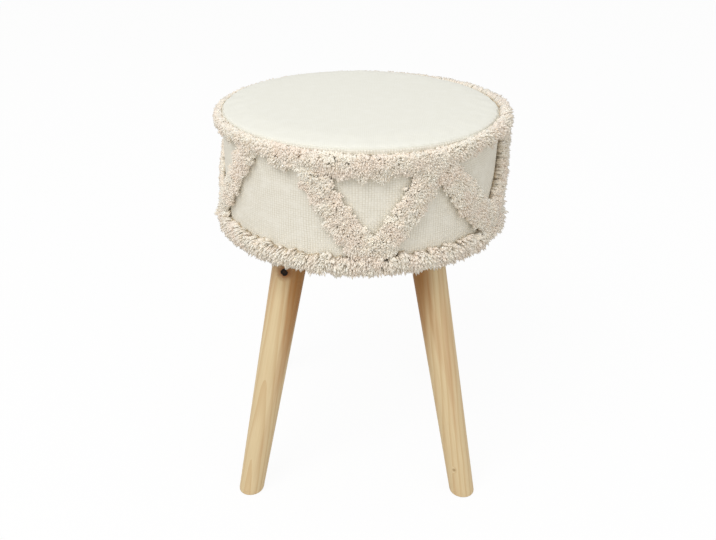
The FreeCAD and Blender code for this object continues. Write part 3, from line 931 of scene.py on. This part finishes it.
_, base_underside, _ = extent("base_board")
_, _, leg_top_edge = extent("leg_front_right")
LEG_SPLAY = math.radians(14.4)
LEG_INSET = 54.2 * MM
LEG_TOP_RADIUS = 19.5 * MM
LEG_FOOT_RADIUS = 14.5 * MM
LEG_TOP = leg_top_edge - LEG_TOP_RADIUS * math.sin(LEG_SPLAY)
FOOT_SPREAD = COVER_RADIUS - LEG_INSET + base_underside * math.tan(LEG_SPLAY)
FOOT_ROUNDING = 2.5 * MM

# Degrees: turn of each leg round the drum, and of the pith and the heartwood, with its painted shade,
# round the leg
LEGS = {
    "front_left": (-45, 25, 110),
    "front_right": (45, 40, -112),
    "rear_right": (135, 200, 300),
    "rear_left": (225, 320, 160),
}

# Each knot: number of its leg, distance down it, degrees round it, and radius
DEAD_KNOT = (0, 37.4 * MM, 32.0, 4.2 * MM)
PIN_KNOT = (1, 286.6 * MM, -68.0, 1.8 * MM)
BLANK_SPACING = 1.0
FAR_SIDE = 99.0
PITH_AWAY = 46.0 * MM
PITH_LEAN = 0.06
HEART_AWAY = 3.0 * MM
# The heartwood covers more of each leg towards its top; this lean is partly painted shade, for the seat's
# shadow on the upper legs.
HEART_AND_SHADE_LEAN = 0.12
RING_SPACING = 6.0 * MM
RING_WANDER = 9.0 * MM
RING_BULGE = 4.0 * MM
FLAME_DEPTH = 16.0 * MM
BURR_DEPTH = 0.9


def knot_distance(tree, place, knot):
    """Distance from a knot's axis, which runs out of the leg's middle, in knot radii.

    It is the length of the cross product with the axis, and large on the far side of the leg.
    """
    number, down, turn_degrees, radius = knot
    turn = math.radians(turn_degrees)
    way = (math.cos(turn), math.sin(turn), 0)
    middle = (0, 0, down + BLANK_SPACING * number)
    off = put(tree, "VectorMath", {0: place, 1: middle}, operation="SUBTRACT")
    across = put(tree, "VectorMath", {0: off, 1: way}, operation="CROSS_PRODUCT")
    distance = put(tree, "VectorMath", {0: across}, "Value", operation="LENGTH")
    distance = put(tree, "Math", {0: distance, 1: 1 / radius}, operation="MULTIPLY")
    outward = put(tree, "VectorMath", {0: off, 1: way}, "Value", operation="DOT_PRODUCT")
    behind = put(tree, "Math", {0: outward, 1: 0.0}, operation="LESS_THAN")
    return put(tree, "Math", {0: behind, 1: FAR_SIDE, 2: distance}, operation="MULTIPLY_ADD")


def near(tree, distance, start, full, most=1.0):
    """A share that grows smoothly from 0 where the distance is start to its most where it is full."""
    limits = {"Value": distance, "From Min": start, "From Max": full, "To Max": most}
    return put(tree, "MapRange", limits, interpolation_type="SMOOTHSTEP")


def late_wood(tree, wander, knot):
    """How dark the growth rings are: each darkens towards its outer edge, and all bend round the knots.

    Rings are counted by the distance from the pith, with a slow wander and a bulge at a knot added.
    """
    reach = put(tree, "Attribute", {}, "Fac", attribute_name="reach")
    reach = put(tree, "Math", {0: wander, 1: RING_WANDER, 2: reach}, operation="MULTIPLY_ADD")
    bulge = near(tree, knot, start=3.2, full=0.5)
    reach = put(tree, "Math", {0: bulge, 1: RING_BULGE, 2: reach}, operation="MULTIPLY_ADD")
    rings = put(tree, "Math", {0: reach, 1: 1 / RING_SPACING}, operation="MULTIPLY")
    rings = put(tree, "Math", {0: rings}, operation="FRACT")
    return near(tree, rings, start=0.4, full=1.0, most=0.36)


def knotty(tree, wood, place, dead, pin):
    """Adds the knots: a small brown pin knot, and a dead one with a dark halo, bark and core."""
    burr_size = 3.85 * MM
    burr = put(tree, "TexNoise", {"Vector": place, "Scale": 1 / burr_size, "Detail": 2.0})
    dead = put(tree, "Math", {0: burr, 1: BURR_DEPTH, 2: dead}, operation="MULTIPLY_ADD")
    wood = blend(tree, near(tree, pin, start=1.6, full=0.6, most=0.7), wood, "#a08057")
    wood = blend(tree, near(tree, dead, start=3.4, full=1.4, most=0.85), wood, "#8f5427")
    wood = blend(tree, near(tree, dead, start=1.6, full=1.3), wood, "#0f0805")
    return blend(tree, near(tree, dead, start=1.1, full=0.8, most=0.6), wood, "#3a2312")


def oiled_pine():
    """Plain-sawn pine under matt oil: pale sapwood with fine fibres and amber growth lines.

    Heartwood is darker, with reddish flames into the sapwood; it covers more of the leg near the top,
    which also paints the seat's shade there. There are two knots.
    """
    material, tree, shader = new_material("oiled_pine", Roughness=0.5, Specular_IOR_Level=0.15)
    place = put(tree, "Attribute", {}, "Vector", attribute_name="blank")
    wander = streaks(tree, place, (33.3 * MM, 33.3 * MM, 166.7 * MM), detail=2.0)
    fibre = streaks(tree, place, (1.11 * MM, 1.11 * MM, 71.4 * MM), detail=4.0)
    flame = streaks(tree, place, (13.33 * MM, 13.33 * MM, 200.0 * MM), detail=3.0)
    heart_and_shade = put(tree, "Attribute", {}, "Fac", attribute_name="heart_and_shade")
    heart_and_shade = put(tree, "Math", {0: flame, 1: FLAME_DEPTH, 2: heart_and_shade}, operation="MULTIPLY_ADD")
    dead, pin = (knot_distance(tree, place, knot) for knot in (DEAD_KNOT, PIN_KNOT))
    knot = put(tree, "Math", {0: dead, 1: pin}, operation="MINIMUM")
    wood = blend(tree, fibre, "#d5bc91", "#e9d5ad")
    wood = blend(tree, late_wood(tree, wander, knot), wood, "#c39a68")
    wood = blend(tree, near(tree, flame, start=0.5, full=0.75, most=0.45), wood, "#c08f64")
    # Painted shade and heartwood: the amber heartwood mask widens towards the top of the leg, darkening
    # it as the seat's shadow would.
    wood = blend(tree, near(tree, heart_and_shade, start=1 * MM, full=18 * MM, most=0.85), wood, "#a66d30")
    wood = knotty(tree, wood, place, dead, pin)
    surface(tree, shader, wood, fibre, strength=0.15, depth=0.2 * MM)
    return material


def grain(blank, pith_degrees, heart_degrees):
    """Distance of each point from the pith, and how deep it lies in the heartwood and its painted shade.

    The pith lies outside the leg and leans in towards the foot; the heartwood starts at a plane, which
    leans so that it covers more of the top, painting the seat's shade there.
    """
    pith, heart_and_shade = np.radians([pith_degrees, heart_degrees])
    x, y, down = blank.T
    off = PITH_AWAY - PITH_LEAN * down
    reach = np.hypot(x - off * np.cos(pith), y - off * np.sin(pith))
    return reach, x * np.cos(heart_and_shade) + y * np.sin(heart_and_shade) - HEART_AWAY - HEART_AND_SHADE_LEAN * down


def leg_directions(turn):
    """Directions of a leg at that turn round the drum: outwards, to its front and side, and down it."""
    out = np.array([math.sin(turn), -math.cos(turn), 0.0])
    side = np.array([math.cos(turn), math.sin(turn), 0.0])
    front = out * math.cos(LEG_SPLAY) + UP * math.sin(LEG_SPLAY)
    down = out * math.sin(LEG_SPLAY) - UP * math.cos(LEG_SPLAY)
    return out, front, side, down


def leg_rings(top, front, side, down, columns):
    """Rings of a tapered tube on a slanted axis.

    Each side line runs from the square top to the floor, and turns under on a quadratic curve.
    """
    rows, foot_rows = 60, 6
    spin = -full_circle(columns)[:, None]
    spoke = np.cos(spin) * front + np.sin(spin) * side
    upper = top + LEG_TOP_RADIUS * spoke
    line = LEG_TOP / math.cos(LEG_SPLAY) * down + (LEG_FOOT_RADIUS - LEG_TOP_RADIUS) * spoke
    floor = upper - upper[:, 2:] / line[:, 2:] * line
    bend = upper - (upper[:, 2:] - FOOT_ROUNDING) / line[:, 2:] * line
    shaft = upper + np.linspace(0, 1, rows)[:, None, None] * (bend - upper)
    inset = floor + FOOT_ROUNDING * unit(floor.mean(0) - floor)
    foot = curve(bend, floor, inset, np.linspace(0, 1, foot_rows)[1:, None, None])
    return np.concatenate([shaft, foot])


def leg(corner, number, turns, material):
    """One leg, with its place in the blank it was cut from, for the grain."""
    columns = 72
    out, front, side, down = leg_directions(math.radians(turns[0]))
    top = out * (FOOT_SPREAD - LEG_TOP * math.tan(LEG_SPLAY)) + UP * LEG_TOP
    rings = leg_rings(top, front, side, down, columns)
    points = rings.reshape(-1, 3)
    blank = (points - top) @ np.stack([front, side, down], -1)
    reach, heart_and_shade = grain(blank, *turns[1:])
    blank[:, 2] += BLANK_SPACING * number
    values = {"blank": blank, "reach": reach, "heart_and_shade": heart_and_shade}
    faces = capped_quads(len(rings), columns)
    piece = new_piece("pine_leg_" + corner, points, faces, material, "pine", **values)
    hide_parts("leg_" + corner)


pine = oiled_pine()
for number, (corner, turns) in enumerate(LEGS.items()):
    leg(corner, number, turns, pine)


# Floor, light and camera
# A plain pale studio floor, one broad soft lamp high on the left and a weaker one on the right,
# and a camera at the viewpoint of the photograph.

FLOOR_HALF = 12.0
FLOOR_WHITE = 0.93
SURROUND = 0.62
WHITE = (1, 1, 1, 1)
LAMP_SIZE = 2.2
LAMP_AIM = (0, 0, 0.35)

# Each lamp: place in metres and power in watts
KEY_LAMP = ((-1.4, -1.95, 3.0), 60)
FILL_LAMP = ((2.2, -2.2, 1.8), 14)

CAMERA_PLACE = (0.0, -864.45 * MM, 683.46 * MM)
CAMERA_PITCH = math.radians(27.436)
CAMERA_ROLL = math.radians(0.603)
FOCAL_PIXELS = 790.06
IMAGE_WIDTH = 716
MIDDLE_PIXELS = 0.94


def seen_rays(tree):
    """1 for rays from the camera, a reflection or glass, and 0 for the light that falls on the stool."""
    share = 0.0
    for kind in ("Is Camera Ray", "Is Glossy Ray", "Is Transmission Ray"):
        share = put(tree, "Math", {0: put(tree, "LightPath", {}, kind), 1: share}, operation="MAXIMUM")
    return share


def floor_paper():
    """Pale matt paper; most of what the camera sees of it is plain white, so the shadow stays faint."""
    material, tree, shader = new_material("studio_floor", Roughness=1.0)
    seen = seen_rays(tree)
    tree.links.new(blend(tree, seen, "#d6d3cd", "#fdfdfc"), shader.inputs["Base Color"])
    share = put(tree, "Math", {0: seen, 1: FLOOR_WHITE}, operation="MULTIPLY")
    white = put(tree, "Emission", {"Color": WHITE, "Strength": 1.0})
    both = put(tree, "MixShader", {0: share, 1: shader.outputs[0], 2: white})
    tree.links.new(both, tree.nodes["Material Output"].inputs["Surface"])
    return material


def studio_floor():
    """One large square face at the level of the feet."""
    mesh = bpy.data.meshes.new("studio_floor")
    corners = np.array([(-1, -1, 0), (1, -1, 0), (1, 1, 0), (-1, 1, 0)]) * FLOOR_HALF
    mesh.from_pydata(corners.tolist(), [], [(0, 1, 2, 3)])
    mesh.materials.append(floor_paper())
    add_object("studio_floor", mesh)


def lamp(name, place, power):
    """A square soft lamp aimed at the stool."""
    light = bpy.data.lights.new(name, "AREA")
    light.size = LAMP_SIZE
    light.energy = power
    holder = add_object(name, light)
    aim = Vector(LAMP_AIM) - Vector(place)
    holder.matrix_world = Matrix.Translation(place) @ aim.to_track_quat("-Z", "Y").to_matrix().to_4x4()


def studio_light():
    """An even white surround, seen as plain white, and the two lamps."""
    world = bpy.data.worlds.new("studio")
    world.use_nodes = True
    tree = world.node_tree
    soft = tree.nodes["Background"]
    soft.inputs["Color"].default_value = WHITE
    soft.inputs["Strength"].default_value = SURROUND
    white = put(tree, "Background", {"Color": WHITE, "Strength": 1.0})
    both = put(tree, "MixShader", {0: seen_rays(tree), 1: soft.outputs[0], 2: white})
    tree.links.new(both, tree.nodes["World Output"].inputs["Surface"])
    bpy.context.scene.world = world
    lamp("key_lamp", *KEY_LAMP)
    lamp("fill_lamp", *FILL_LAMP)


def photo_camera():
    """Looks along +Y and down, with the small roll and shift of the picture."""
    camera = bpy.data.cameras.new("photo_camera")
    camera.lens = camera.sensor_width * FOCAL_PIXELS / IMAGE_WIDTH
    camera.shift_x = -MIDDLE_PIXELS / IMAGE_WIDTH
    holder = add_object("photo_camera", camera)
    tilt = Matrix.Rotation(math.pi / 2 - CAMERA_PITCH, 4, "X") @ Matrix.Rotation(CAMERA_ROLL, 4, "Z")
    holder.matrix_world = Matrix.Translation(CAMERA_PLACE) @ tilt
    bpy.context.scene.camera = holder


studio_floor()
studio_light()
photo_camera()
bpy.context.scene.view_settings.view_transform = "Standard"
